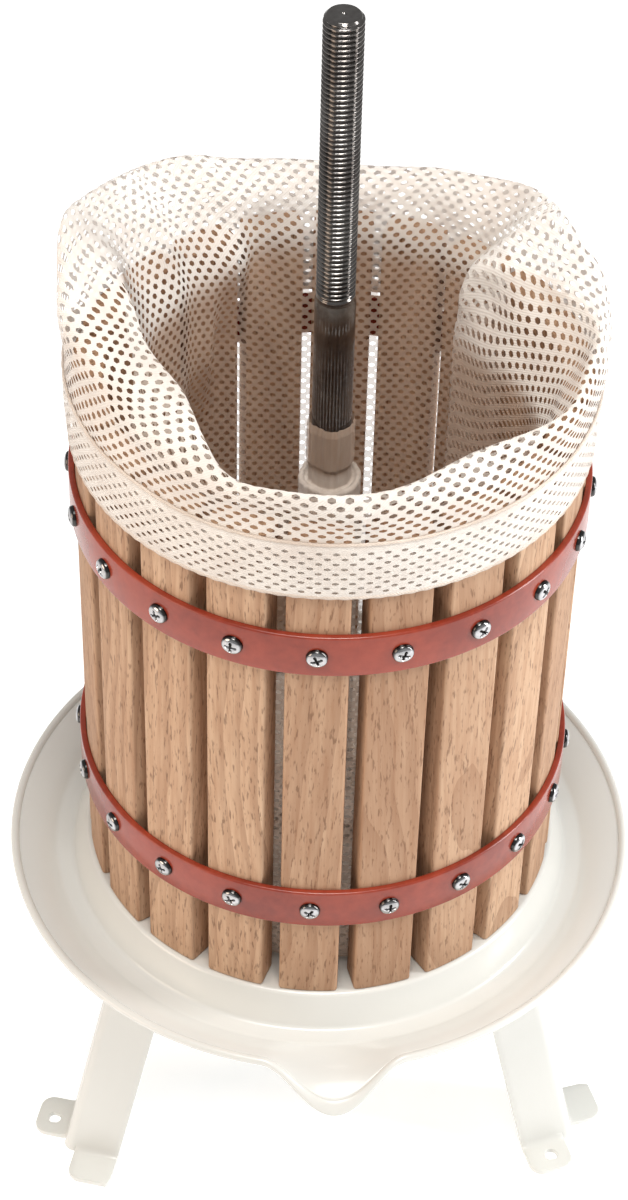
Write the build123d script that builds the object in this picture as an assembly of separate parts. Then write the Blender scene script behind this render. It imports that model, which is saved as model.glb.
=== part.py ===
from build123d import *
import math
import os

# Apple cider press: a slatted basket lined with a mesh bag stands on a dished
# tray, which three folded legs carry round a fixed central press screw.
# Millimetres, +Z up along the screw, z = 0 is the floor under the feet, the
# spout points to -Y.  Azimuth 0 is the spout and grows towards +X.

# ---- driving dimensions -------------------------------------------------
STAND_HEIGHT = 180.0          # floor to the top of the tray's flat middle
SHEET = 2.0                   # tray sheet thickness

STAVE_COUNT = 20
STAVE_LENGTH = 305.0
STAVE_WIDTH = 29.0
STAVE_THICKNESS = 15.5
STAVE_ROUNDING = 1.2
BASKET_RADIUS = 120.5         # over the staves
BASKET_TURN = -5.5            # how far stave 1 stands round from the spout, degrees

HOOP_THICKNESS = 3.0
HOOP_HEIGHT = 24.0
HOOP_INSET = 66.0             # stave end to the middle of the nearest hoop
HOOP_ROUNDING = 0.8

WOOD_SCREW_RADIUS = 2.0
WOOD_SCREW_LENGTH = 15.0
WOOD_HEAD_RADIUS = 5.0
WOOD_HEAD_HEIGHT = 3.0
RECESS_WIDTH = 1.1
RECESS_SPAN = 5.2
RECESS_DEPTH = 1.2

TRAY_STEP = 1.5               # flat middle beyond the basket, before the channel
TRAY_RADIUS = 162.5           # over the rolled rim
RIM_BEAD = 2.2                # radius of the rolled rim
RIM_DROP = 6.0                # top of the rim below the flat middle
CHANNEL_DEPTH = 18.0
CHANNEL_WIDTH = 9.0           # flat bottom of the juice channel
CHANNEL_WALL = 8.0            # how far the inner wall of the channel leans out
SPOUT_REACH = 12.5            # spout lip beyond the rolled rim
SPOUT_ROOT_HALF = 30.0
SPOUT_LIP_HALF = 15.0
SPOUT_FALL = 8.0              # lip's edges below the rim's top
SPOUT_LIP_DEPTH = 10.0

SCREW_RADIUS = 9.5            # plain shank of the press screw
THREAD_RADIUS = 9.0           # over the thread, turned down from the shank
SCREW_LENGTH = 535.0
SCREW_RISE = 495.5            # screw top above the tray's flat middle
THREAD_LENGTH = 150.0
SCREW_CHAMFER = 1.6
NUT_FLATS = 27.0
NUT_HEIGHT = 15.0
LOCK_NUT_HEIGHT = 9.0
WASHER_RADIUS = 22.0
WASHER_THICKNESS = 3.0

BEARER_THICKNESS = 8.0
HUB_RADIUS = 40.0
ARM_WIDTH = 42.0
ARM_SETBACK = 8.0             # arm end inside the corner of the leg's top

LEG_COUNT = 3
LEG_FIRST_AZIMUTH = 60.0
LEG_SHEET = 3.0
LEG_FLANGE = 31.0
LEG_BEND = 6.0                # outer bend radius
FOOT_RADIUS = 163.0           # screw axis to the leg's corner at the floor
LEG_SPLAY = 14.8              # degrees out of plumb
FOOT_TAB_DEPTH = 19.0
FOOT_TAB_START = 4.0          # from the leg's corner
FOOT_TAB_ROUNDING = 7.0
FOOT_HOLE_RADIUS = 3.5
FOOT_HOLE_ALONG = 17.5        # from the corner, along the flange
FOOT_HOLE_OUT = 9.5           # from the flange's outer face
TOP_TAB_DEPTH = 19.0
LEG_BOLT_RADIUS = 3.0
LEG_BOLT_ALONG = 24.0
LEG_BOLT_IN = 9.0
LEG_BOLT_LENGTH = 12.0
LEG_BOLT_FLATS = 10.0
LEG_BOLT_HEAD = 4.0
LEG_WASHER_RADIUS = 6.0
LEG_WASHER_THICKNESS = 1.6

BAG_CLOTH = 1.2
BAG_COLLAR = 45.0             # fold of the bag above the stave tops
BAG_CUFF = 30.0               # hem of the cuff below the stave tops
BAG_FOLD_WIDTH = 6.0
SLEEVE_TOP = 274.5            # hem of the bag's sleeve above the tray's flat middle
BAG_CORNER = 6.0

# ---- clearances ---------------------------------------------------------
THREAD_PLAY = 0.05            # screws and bolts in the holes they are driven into
HOOP_PLAY = 0.1               # hoops round the staves
BOLT_PLAY = 0.3               # bolts in the holes they pass through
CLOTH_PLAY = 0.5              # bag to staves and tray
SLEEVE_PLAY = 1.2             # bag sleeve round the press screw
NUT_PLAY = 3.0                # bag over the washer and nut inside it

# ---- derived sizes ------------------------------------------------------
FLOOR_TOP = STAND_HEIGHT
BEARER_TOP = FLOOR_TOP - SHEET
BEARER_BOTTOM = BEARER_TOP - BEARER_THICKNESS
STAVE_PITCH = 360.0 / STAVE_COUNT
STAVE_INNER = BASKET_RADIUS - STAVE_THICKNESS
HOOP_LEVELS = {
    "lower_hoop": FLOOR_TOP + HOOP_INSET,
    "upper_hoop": FLOOR_TOP + STAVE_LENGTH - HOOP_INSET,
}
HOOP_INNER = BASKET_RADIUS + HOOP_PLAY
HOOP_OUTER = HOOP_INNER + HOOP_THICKNESS
FLAT_RADIUS = BASKET_RADIUS + TRAY_STEP
SCREW_TOP = FLOOR_TOP + SCREW_RISE
SCREW_BOTTOM = SCREW_TOP - SCREW_LENGTH
THREAD_BOTTOM = SCREW_TOP - THREAD_LENGTH
LEG_LEAN = math.tan(math.radians(LEG_SPLAY))
LEG_TOP_CORNER = FOOT_RADIUS - LEG_LEAN * BEARER_BOTTOM
LEG_AZIMUTHS = [LEG_FIRST_AZIMUTH + i * 360.0 / LEG_COUNT for i in range(LEG_COUNT)]
LEG_NAMES = ["leg_front_right", "leg_rear", "leg_front_left"]


def at_azimuth(shape, azimuth):
    """Turn something modelled on the -Y side to an azimuth from the spout."""
    return Rot(0, 0, azimuth) * shape


def hexagon_prism(flats, height):
    """Hexagonal prism standing on z = 0, with the given width across flats."""
    return extrude(RegularPolygon(flats / 2, 6, major_radius=False), height)


def radial_rod(radius, start, end, level):
    """Round rod along -Y from one distance off the axis to another."""
    middle = (start + end) / 2
    return Pos(0, -middle, level) * Rot(90, 0, 0) * Cylinder(radius, end - start)


def strip_outline(points, thickness):
    """Closed outline of a strip of even thickness round an open middle line.

    Each corner point moves along the mean of its two runs' normals, by half
    the thickness over the cosine of half the turn, so both edges stay parallel.
    """
    normals = []
    for (x0, y0), (x1, y1) in zip(points, points[1:]):
        run = math.hypot(x1 - x0, y1 - y0)
        normals.append(((y0 - y1) / run, (x1 - x0) / run))
    left = []
    right = []
    for i, (x, y) in enumerate(points):
        before = normals[max(i - 1, 0)]
        after = normals[min(i, len(normals) - 1)]
        scale = 1 + before[0] * after[0] + before[1] * after[1]
        step_x = (before[0] + after[0]) / scale * thickness / 2
        step_y = (before[1] + after[1]) / scale * thickness / 2
        left.append((x + step_x, y + step_y))
        right.append((x - step_x, y - step_y))
    return left + right[::-1]


def turned(outline):
    """Solid of revolution of a closed (radius, level) outline."""
    return revolve(Plane.XZ * make_face(Polyline(outline, close=True)), Axis.Z)


# ---- basket -------------------------------------------------------------
def stave():
    """Slat with a flat inner face and an outer face rounded to fit the hoops."""
    blank = Pos(0, -(STAVE_INNER + STAVE_THICKNESS / 2)) * Rectangle(STAVE_WIDTH, STAVE_THICKNESS)
    section = fillet((blank & Circle(BASKET_RADIUS)).vertices(), STAVE_ROUNDING)
    body = Pos(0, 0, FLOOR_TOP) * extrude(section, STAVE_LENGTH)
    pilot_start = HOOP_OUTER - WOOD_SCREW_LENGTH - THREAD_PLAY
    for level in HOOP_LEVELS.values():
        body -= radial_rod(WOOD_SCREW_RADIUS + THREAD_PLAY, pilot_start, HOOP_OUTER, level)
    return body


def hoop(level):
    """Flat steel band round the staves, with a hole on every stave."""
    section = Pos(HOOP_INNER + HOOP_THICKNESS / 2, level) * Rectangle(HOOP_THICKNESS, HOOP_HEIGHT)
    outer_corners = section.vertices().sort_by(Axis.X)[2:]
    band = revolve(Plane.XZ * fillet(outer_corners, HOOP_ROUNDING), Axis.Z)
    hole = radial_rod(WOOD_SCREW_RADIUS + BOLT_PLAY, STAVE_INNER, HOOP_OUTER + 1, level)
    holes = [at_azimuth(hole, azimuth) for azimuth in stave_azimuths()]
    return band - holes


def wood_screw(level):
    """Domed cross-head screw driven through the hoop into a stave."""
    head = WOOD_HEAD_HEIGHT
    profile = make_face([
        Line((0, 0), (WOOD_HEAD_RADIUS, 0)),
        Line((WOOD_HEAD_RADIUS, 0), (WOOD_HEAD_RADIUS, head * 0.25)),
        ThreePointArc((WOOD_HEAD_RADIUS, head * 0.25), (WOOD_HEAD_RADIUS * 0.7, head * 0.74), (0, head)),
        Line((0, head), (0, 0)),
    ])
    screw = revolve(Plane.XZ * profile, Axis.Z)
    screw += Pos(0, 0, -WOOD_SCREW_LENGTH / 2) * Cylinder(WOOD_SCREW_RADIUS, WOOD_SCREW_LENGTH)
    slot = Pos(0, 0, head) * Box(RECESS_SPAN, RECESS_WIDTH, 2 * RECESS_DEPTH)
    screw -= [slot, Rot(0, 0, 90) * slot]
    return Pos(0, -HOOP_OUTER, level) * Rot(90, 0, 0) * screw


def stave_azimuths():
    """Azimuth of every stave, starting with the one nearest the spout."""
    return [BASKET_TURN + i * STAVE_PITCH for i in range(STAVE_COUNT)]


# ---- tray ---------------------------------------------------------------
def trough(y, half_width, edge, depth, lid):
    """Section of the spout's space across Y: an arc below, square above to a lid."""
    outline = [
        Line((-half_width, lid), (-half_width, edge)),
        ThreePointArc((-half_width, edge), (0, edge - depth), (half_width, edge)),
        Line((half_width, edge), (half_width, lid)),
        Line((half_width, lid), (-half_width, lid)),
    ]
    return Plane(origin=(0, y, 0), x_dir=(1, 0, 0), z_dir=(0, -1, 0)) * make_face(outline)


def tray():
    """Dished tray: flat middle, juice channel, sloping wall, rolled rim and spout."""
    rim_top = FLOOR_TOP - RIM_DROP
    bead_radius = TRAY_RADIUS - RIM_BEAD
    bead_level = rim_top - RIM_BEAD
    channel_start = FLAT_RADIUS + CHANNEL_WALL
    channel_end = channel_start + CHANNEL_WIDTH
    channel_level = FLOOR_TOP - CHANNEL_DEPTH
    bore = SCREW_RADIUS + BOLT_PLAY
    upper = [
        (bore, FLOOR_TOP),
        (FLAT_RADIUS, FLOOR_TOP),
        (channel_start, channel_level),
        (channel_end, channel_level),
        (bead_radius, rim_top - RIM_BEAD + SHEET / 2),
    ]
    middle_line = [(radius, level - SHEET / 2) for radius, level in upper]
    dish = turned(strip_outline(middle_line, SHEET))
    bead = revolve(Plane.XZ * (Pos(bead_radius, bead_level) * Circle(RIM_BEAD)), Axis.Z)
    cavity = turned(upper + [(bead_radius, FLOOR_TOP + SHEET), (bore, FLOOR_TOP + SHEET)])

    root_y = -channel_end
    lip_y = -(TRAY_RADIUS + SPOUT_REACH)
    lip_edge = rim_top - SPOUT_FALL
    root_depth = rim_top - channel_level
    lid = FLOOR_TOP + SHEET
    space = loft([
        trough(root_y, SPOUT_ROOT_HALF, rim_top, root_depth, lid),
        trough(lip_y - SHEET, SPOUT_LIP_HALF, lip_edge, SPOUT_LIP_DEPTH, lid),
    ])
    shell = loft([
        trough(root_y, SPOUT_ROOT_HALF + SHEET, rim_top - SHEET, root_depth, rim_top),
        trough(lip_y, SPOUT_LIP_HALF + SHEET, lip_edge - SHEET, SPOUT_LIP_DEPTH, lip_edge),
    ])
    return dish + bead + shell - space - cavity


# ---- stand --------------------------------------------------------------
def flange_point(along, across):
    """Place on the leg's two flanges, from its corner, in the -Y side frame.

    The flanges run back from the corner at 45 degrees to the radius; along is
    measured down one flange and across down the other.
    """
    lean = math.sqrt(0.5)
    return (along - across) * lean, (along + across) * lean


def leg():
    """Folded angle with feet turned out below and fixing tabs turned in above."""
    angle = Rectangle(LEG_FLANGE, LEG_SHEET, align=Align.MIN)
    angle += Rectangle(LEG_SHEET, LEG_FLANGE, align=Align.MIN)
    outer = angle.vertices().sort_by_distance((0, 0))[0]
    angle = fillet(outer, LEG_BEND)
    inner = angle.vertices().sort_by_distance((LEG_SHEET, LEG_SHEET))[0]
    angle = fillet(inner, LEG_BEND - LEG_SHEET)
    slope = Vector(0, LEG_LEAN, 1)
    corner_turn = Rot(0, 0, 45)
    foot = Pos(0, -FOOT_RADIUS, 0) * corner_turn
    body = extrude(foot * angle, BEARER_BOTTOM * slope.length, dir=slope.normalized())

    tab_width = LEG_FLANGE - FOOT_TAB_START
    tab_centre = FOOT_TAB_START + tab_width / 2
    tab_reach = FOOT_TAB_DEPTH + LEG_SHEET
    tab = Pos(tab_centre, LEG_SHEET - tab_reach / 2) * Rectangle(tab_width, tab_reach)
    tab = fillet(tab.vertices().sort_by(Axis.Y)[:2], FOOT_TAB_ROUNDING)
    other_tab = mirror(tab, Plane(origin=(0, 0, 0), z_dir=(1, -1, 0)))
    hole = Pos(-FOOT_HOLE_OUT, FOOT_HOLE_ALONG) * Circle(FOOT_HOLE_RADIUS)
    for outline in (tab, other_tab - hole):
        body += extrude(foot * outline, LEG_SHEET)

    top_tab = Polygon((0, 0), (LEG_FLANGE, 0), (LEG_FLANGE, TOP_TAB_DEPTH),
                      (TOP_TAB_DEPTH, TOP_TAB_DEPTH), (TOP_TAB_DEPTH, LEG_FLANGE),
                      (0, LEG_FLANGE), align=None)
    top_tab = fillet(top_tab.vertices().sort_by_distance((0, 0))[0], LEG_BEND)
    head = Pos(0, -LEG_TOP_CORNER, BEARER_BOTTOM - LEG_SHEET) * corner_turn
    body += extrude(head * top_tab, LEG_SHEET)
    for x, y in leg_bolt_places():
        body -= Pos(x, y, BEARER_BOTTOM) * Cylinder(LEG_BOLT_RADIUS + BOLT_PLAY, 4 * LEG_SHEET)
    return body


def leg_bolt_places():
    """The two fixing bolts of the leg on the -Y side."""
    places = []
    for along, across in ((LEG_BOLT_ALONG, LEG_BOLT_IN), (LEG_BOLT_IN, LEG_BOLT_ALONG)):
        x, y = flange_point(along, across)
        places.append((x, y - LEG_TOP_CORNER))
    return places


def bearer():
    """Hub plate with three flat arms that carry the tray and take the legs."""
    body = Pos(0, 0, BEARER_BOTTOM) * extrude(Circle(HUB_RADIUS), BEARER_THICKNESS)
    arm_length = LEG_TOP_CORNER - ARM_SETBACK
    arm = Pos(0, -arm_length / 2, (BEARER_BOTTOM + BEARER_TOP) / 2) * Box(
        ARM_WIDTH, arm_length, BEARER_THICKNESS)
    for x, y in leg_bolt_places():
        arm -= Pos(x, y, BEARER_BOTTOM) * Cylinder(LEG_BOLT_RADIUS + THREAD_PLAY, 4 * BEARER_THICKNESS)
    for azimuth in LEG_AZIMUTHS:
        body += at_azimuth(arm, azimuth)
    return body - Pos(0, 0, BEARER_TOP) * Cylinder(SCREW_RADIUS + BOLT_PLAY, 4 * BEARER_THICKNESS)


def leg_bolts_and_washers():
    """Every leg bolt, and the washer under each head, as two groups."""
    seat = BEARER_BOTTOM - LEG_SHEET
    head_top = seat - LEG_WASHER_THICKNESS
    bolts = []
    washers = []
    for azimuth in LEG_AZIMUTHS:
        for x, y in leg_bolt_places():
            bolt = Pos(x, y, head_top - LEG_BOLT_HEAD) * hexagon_prism(LEG_BOLT_FLATS, LEG_BOLT_HEAD)
            bolt += Pos(x, y, head_top) * extrude(Circle(LEG_BOLT_RADIUS), LEG_BOLT_LENGTH)
            ring = Circle(LEG_WASHER_RADIUS) - Circle(LEG_BOLT_RADIUS + BOLT_PLAY)
            washer = Pos(x, y, head_top) * extrude(ring, LEG_WASHER_THICKNESS)
            bolts.append(at_azimuth(bolt, azimuth))
            washers.append(at_azimuth(washer, azimuth))
    return bolts, washers


# ---- press screw and its fixing -----------------------------------------
def press_screw():
    """Fixed screw: plain shank below, thread envelope above, chamfered ends."""
    shank = Pos(0, 0, SCREW_BOTTOM) * extrude(Circle(SCREW_RADIUS), THREAD_BOTTOM - SCREW_BOTTOM)
    thread = Pos(0, 0, THREAD_BOTTOM) * extrude(Circle(THREAD_RADIUS), THREAD_LENGTH)
    shank = chamfer(shank.edges().group_by(Axis.Z)[0], SCREW_CHAMFER)
    thread = chamfer(thread.edges().group_by(Axis.Z)[-1], SCREW_CHAMFER)
    return shank + thread


def big_nut(level, height):
    """Hexagon nut on the press screw, standing on a level."""
    blank = Pos(0, 0, level) * hexagon_prism(NUT_FLATS, height)
    return blank - Pos(0, 0, level + height / 2) * Cylinder(SCREW_RADIUS + THREAD_PLAY, 2 * height)


def big_washer(level):
    """Plate washer on the press screw, standing on a level."""
    ring = Circle(WASHER_RADIUS) - Circle(SCREW_RADIUS + BOLT_PLAY)
    return Pos(0, 0, level) * extrude(ring, WASHER_THICKNESS)


# ---- press bag ----------------------------------------------------------
def press_bag():
    """Mesh bag: sleeve on the screw, bottom, wall, collar and turned-down cuff."""
    half = BAG_CLOTH / 2
    bottom = FLOOR_TOP + CLOTH_PLAY + half
    stave_top = FLOOR_TOP + STAVE_LENGTH
    nut_top = FLOOR_TOP + WASHER_THICKNESS + NUT_HEIGHT
    sleeve = SCREW_RADIUS + SLEEVE_PLAY + half
    nut_cover = WASHER_RADIUS + NUT_PLAY + half
    wall = STAVE_INNER - CLOTH_PLAY - half
    cuff = BASKET_RADIUS + CLOTH_PLAY + half
    fold = (wall + cuff) / 2
    middle_line = [
        (sleeve, FLOOR_TOP + SLEEVE_TOP),
        (sleeve, nut_top + NUT_PLAY),
        (nut_cover, nut_top + NUT_PLAY),
        (nut_cover, bottom),
        (wall - BAG_CORNER, bottom),
        (wall, bottom + BAG_CORNER),
        (wall, stave_top + CLOTH_PLAY + half),
        (fold - BAG_FOLD_WIDTH / 2, stave_top + BAG_COLLAR - half),
        (fold + BAG_FOLD_WIDTH / 2, stave_top + BAG_COLLAR - half),
        (cuff, stave_top + CLOTH_PLAY + half),
        (cuff, stave_top - BAG_CUFF),
    ]
    return turned(strip_outline(middle_line, BAG_CLOTH))


def write(name, shape):
    """Write one node, which may be a list of separate solids."""
    if isinstance(shape, list):
        shape = Compound(children=shape)
    shape.label = name
    export_step(shape, f"parts/{name}.step")


def main():
    os.makedirs("parts", exist_ok=True)
    one_stave = stave()
    for number, azimuth in enumerate(stave_azimuths(), start=1):
        write(f"stave_{number:02d}", at_azimuth(one_stave, azimuth))
    for name, level in HOOP_LEVELS.items():
        write(name, hoop(level))
        write(f"{name}_screws", [at_azimuth(wood_screw(level), a) for a in stave_azimuths()])

    write("tray", tray())
    write("bearer", bearer())
    for name, azimuth in zip(LEG_NAMES, LEG_AZIMUTHS):
        write(name, at_azimuth(leg(), azimuth))
    bolts, washers = leg_bolts_and_washers()
    write("leg_bolts", bolts)
    write("leg_washers", washers)

    write("press_screw", press_screw())
    write("upper_washer", big_washer(FLOOR_TOP))
    write("upper_nut", big_nut(FLOOR_TOP + WASHER_THICKNESS, NUT_HEIGHT))
    lower_seat = BEARER_BOTTOM - WASHER_THICKNESS
    write("lower_washer", big_washer(lower_seat))
    write("lower_nut", big_nut(lower_seat - NUT_HEIGHT, NUT_HEIGHT))
    write("lock_nut", big_nut(lower_seat - NUT_HEIGHT - LOCK_NUT_HEIGHT, LOCK_NUT_HEIGHT))
    write("press_bag", press_bag())


main()
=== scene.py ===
import math

import bmesh
import bpy
import numpy as np
from mathutils import Matrix, Vector


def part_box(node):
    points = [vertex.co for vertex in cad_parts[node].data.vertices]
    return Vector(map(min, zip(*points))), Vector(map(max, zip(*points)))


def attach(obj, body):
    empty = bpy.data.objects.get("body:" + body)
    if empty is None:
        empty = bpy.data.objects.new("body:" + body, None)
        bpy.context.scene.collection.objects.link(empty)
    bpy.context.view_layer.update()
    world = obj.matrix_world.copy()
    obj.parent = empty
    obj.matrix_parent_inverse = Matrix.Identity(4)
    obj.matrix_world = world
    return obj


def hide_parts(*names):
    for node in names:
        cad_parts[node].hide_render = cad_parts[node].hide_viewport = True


# Looks of the apple cider press.  Metres, +Z up along the press screw, the floor at
# z = 0 and the spout towards -Y.  Azimuth 0 is the spout and grows towards +X.

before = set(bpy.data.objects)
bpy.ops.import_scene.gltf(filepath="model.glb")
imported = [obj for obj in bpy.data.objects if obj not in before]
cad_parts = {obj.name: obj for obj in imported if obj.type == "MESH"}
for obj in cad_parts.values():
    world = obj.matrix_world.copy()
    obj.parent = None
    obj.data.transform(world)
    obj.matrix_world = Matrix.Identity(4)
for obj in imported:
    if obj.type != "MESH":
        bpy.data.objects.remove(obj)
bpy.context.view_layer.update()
MM = 0.001


# ======================================================================
# Mesh tools
# ======================================================================
def polar(radius, azimuth, level):
    """Points from radius, azimuth and level: x is r sin(azimuth), y is minus r cos(azimuth)."""
    radius, azimuth, level = np.broadcast_arrays(radius, azimuth, level)
    return np.stack([radius * np.sin(azimuth), -radius * np.cos(azimuth), level], axis=-1)


def turn(points, azimuth):
    """Points turned round the screw axis by an azimuth."""
    cosine, sine = math.cos(azimuth), math.sin(azimuth)
    x, y, z = np.moveaxis(np.asarray(points, float), -1, 0)
    return np.stack([cosine * x - sine * y, sine * x + cosine * y, z], axis=-1)


def smooth_step(value):
    """Cubic ramp from 0 to 1, flat at both ends."""
    value = np.clip(value, 0.0, 1.0)
    return value * value * (3.0 - 2.0 * value)


def spread_angles(count):
    """Even angles round a full turn, without the last."""
    return np.linspace(0, 2 * math.pi, count, endpoint=False)


def run_length(path):
    """Length along a path up to each of its points."""
    return np.concatenate([[0], np.cumsum(np.linalg.norm(np.diff(path, axis=0), axis=1))])


def along_path(lengths, path):
    """Radius and level of a path at the given lengths along it."""
    run = run_length(path)
    return np.stack([np.interp(lengths, run, path[:, axis]) for axis in (0, 1)], axis=1)


def place_object(name, data):
    """New object in the scene with the given data."""
    item = bpy.data.objects.new(name, data)
    bpy.context.scene.collection.objects.link(item)
    return item


def grid_quads(rows, columns, close_rows=False, close_columns=False, flip=False):
    """Quads of a grid of rows x columns points, whose last line may join the first."""
    row_ends = rows if close_rows else rows - 1
    column_ends = columns if close_columns else columns - 1
    i, j = np.meshgrid(np.arange(row_ends), np.arange(column_ends), indexing="ij")
    i, j = i.ravel(), j.ravel()
    after_i, after_j = (i + 1) % rows, (j + 1) % columns
    quads = np.stack([i * columns + j, after_i * columns + j,
                      after_i * columns + after_j, i * columns + after_j], axis=1)
    return quads[:, ::-1] if flip else quads


def fan(ring, centre, flip=False):
    """Triangles from a closed ring of point numbers to a centre point."""
    ring = np.asarray(ring)
    triangles = np.stack([ring, np.roll(ring, -1), np.full(len(ring), centre)], axis=1)
    return triangles[:, ::-1] if flip else triangles


def join(parts):
    """One (points, faces) pair from several."""
    points, faces, start = [], [], 0
    for part_points, part_faces in parts:
        part_points = np.asarray(part_points, float).reshape(-1, 3)
        points.append(part_points)
        faces.extend(face + start for face in part_faces)
        start += len(part_points)
    return np.concatenate(points), faces


def build(name, part, body, material, sharp=None, nodes=()):
    """Object from a (points, faces) pair, riding on a body and standing for CAD nodes."""
    points, faces = part
    faces = [face for face in faces if len(face)]
    points = np.asarray(points, float).reshape(-1, 3)
    mesh = bpy.data.meshes.new(name)
    mesh.vertices.add(len(points))
    mesh.vertices.foreach_set("co", points.astype(np.float32).ravel())
    corners = np.concatenate([face.ravel() for face in faces])
    sizes = np.concatenate([np.full(len(face), face.shape[1]) for face in faces])
    mesh.loops.add(len(corners))
    mesh.loops.foreach_set("vertex_index", corners.astype(np.int32))
    mesh.polygons.add(len(sizes))
    mesh.polygons.foreach_set("loop_start", (np.cumsum(sizes) - sizes).astype(np.int32))
    mesh.update(calc_edges=True)
    mesh.validate()
    mesh.shade_smooth()
    if sharp is not None:
        mesh.set_sharp_from_angle(angle=math.radians(sharp))
    mesh.materials.append(material)
    piece = place_object(name, mesh)
    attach(piece, body)
    if nodes:
        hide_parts(*nodes)
    return piece


def store(piece, name, values):
    """Write a point attribute: one number, or three, for every point."""
    values = np.asarray(values, np.float32)
    kind = "FLOAT" if values.ndim == 1 else "FLOAT_VECTOR"
    attribute = piece.data.attributes.new(name, kind, "POINT")
    attribute.data.foreach_set("value" if values.ndim == 1 else "vector", values.ravel())


def store_flat(piece, places, period=0.0):
    """UV map from the place of every point on the flat cloth, unrolled across its join."""
    corners = np.zeros(len(piece.data.loops), np.int32)
    piece.data.loops.foreach_get("vertex_index", corners)
    starts = np.zeros(len(piece.data.polygons), np.int32)
    piece.data.polygons.foreach_get("loop_start", starts)
    flat = np.asarray(places, float)[corners]
    if period:
        face = np.repeat(np.arange(len(starts)), np.diff(np.append(starts, len(corners))))
        highest = np.maximum.reduceat(flat[:, 0], starts)[face]
        flat[:, 0] += np.where(highest - flat[:, 0] > period / 2, period, 0.0)
    layer = piece.data.uv_layers.new(name="flat")
    layer.data.foreach_set("uv", flat.astype(np.float32).ravel())


def rounded_outline(corners, radii, steps):
    """Closed outline whose corners are arcs of the given radii, as an (n, 2) array.

    Each arc starts radius x tan(half the turn) before its corner and is divided evenly.
    """
    corners = np.asarray(corners, float)
    nearly_straight = 1.55
    outline = []
    for k, corner in enumerate(corners):
        radius = radii[k]
        before = corners[k - 1] - corner
        after = corners[(k + 1) % len(corners)] - corner
        before, after = before / np.linalg.norm(before), after / np.linalg.norm(after)
        half = math.acos(np.clip(before @ after, -1, 1)) / 2
        if radius == 0 or half > nearly_straight:
            outline.append(corner)
            continue
        reach = radius / math.tan(half)
        middle = corner + (before + after) / np.linalg.norm(before + after) * radius / math.sin(half)
        start, end = corner + before * reach - middle, corner + after * reach - middle
        sweep = math.atan2(start[0] * end[1] - start[1] * end[0], start @ end)
        for share in np.linspace(0, 1, steps + 1):
            cosine, sine = math.cos(sweep * share), math.sin(sweep * share)
            outline.append(middle + [cosine * start[0] - sine * start[1],
                                     sine * start[0] + cosine * start[1]])
    return np.array(outline)


def rounded_path(corners, radii, steps):
    """Open path whose inner corners are arcs of the given radii."""
    corners = np.asarray(corners, float)
    path = [corners[0]]
    for k in range(1, len(corners) - 1):
        piece = rounded_outline(corners[k - 1:k + 2], [0, radii[k], 0], steps)
        path.extend(piece[1:-1])
    path.append(corners[-1])
    return np.array(path)


def lathe(outline, steps):
    """Closed (radius, level) outline, given anticlockwise, turned right round the axis."""
    azimuths = spread_angles(steps)
    points = polar(outline[None, :, 0], azimuths[:, None], outline[None, :, 1])
    return points, [grid_quads(steps, len(outline), True, True)]


# ======================================================================
# Shader tools
# ======================================================================
class Tree:
    """Short way to add and link nodes in a material's or a group's node tree."""

    def __init__(self, tree):
        self.tree = tree

    def fill(self, sockets, values):
        """Give each named socket its value, or link it to another socket."""
        for key, value in values.items():
            if isinstance(value, bpy.types.NodeSocket):
                self.tree.links.new(value, sockets[key])
            else:
                sockets[key].default_value = value

    def add(self, kind, inputs=None, **settings):
        node = self.tree.nodes.new(kind)
        for key, value in settings.items():
            setattr(node, key, value)
        self.fill(node.inputs, inputs or {})
        return node

    def vector(self, operation, a, b):
        return self.add("ShaderNodeVectorMath", {0: a, 1: b}, operation=operation).outputs[0]

    def math(self, operation, a, b):
        return self.add("ShaderNodeMath", {0: a, 1: b}, operation=operation).outputs[0]

    def times(self, a, b):
        return self.math("MULTIPLY", a, b)

    def stretch(self, a, b):
        return self.vector("MULTIPLY", a, b)

    def ramp(self, value, low, high, to_low=0.0, to_high=1.0):
        return self.add("ShaderNodeMapRange", {0: value, 1: low, 2: high, 3: to_low, 4: to_high},
                        clamp=True).outputs[0]

    def blend(self, factor, a, b):
        return self.add("ShaderNodeMix", {0: factor, 6: a, 7: b}, data_type="RGBA").outputs[2]

    def noise(self, vector, scale, detail, roughness=0.5, output=0):
        return self.add("ShaderNodeTexNoise", {"Vector": vector, "Scale": scale, "Detail": detail,
                                               "Roughness": roughness}).outputs[output]

    def bump(self, strength, distance, height):
        return self.add("ShaderNodeBump", {"Strength": strength, "Distance": distance,
                                           "Height": height}).outputs[0]

    def attribute(self, name, output="Fac"):
        return self.add("ShaderNodeAttribute", attribute_name=name).outputs[output]


def colour(red, green, blue):
    """Linear colour from the 0 to 1 values seen on a screen."""
    linear = [v / 12.92 if v <= 0.04045 else ((v + 0.055) / 1.055) ** 2.4 for v in (red, green, blue)]
    return (*linear, 1.0)


def group(name, inputs, outputs):
    """New shader node group with its sockets, its tree tool, and its two ends."""
    tree = bpy.data.node_groups.new(name, "ShaderNodeTree")
    for label, kind, value in inputs:
        socket = tree.interface.new_socket(label, in_out="INPUT", socket_type=f"NodeSocket{kind}")
        socket.default_value = value
    for label, kind in outputs:
        tree.interface.new_socket(label, in_out="OUTPUT", socket_type=f"NodeSocket{kind}")
    tool = Tree(tree)
    return tree, tool, tool.add("NodeGroupInput").outputs, tool.add("NodeGroupOutput").inputs


def new_material(name, **settings):
    """Material with its principled shader: constant values are set on the shader itself."""
    material = bpy.data.materials.new(name)
    material.use_nodes = True
    tool = Tree(material.node_tree)
    shader = material.node_tree.nodes["Principled BSDF"]
    for key, value in settings.items():
        shader.inputs[key.replace("_", " ")].default_value = value
    return material, tool, shader


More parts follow.
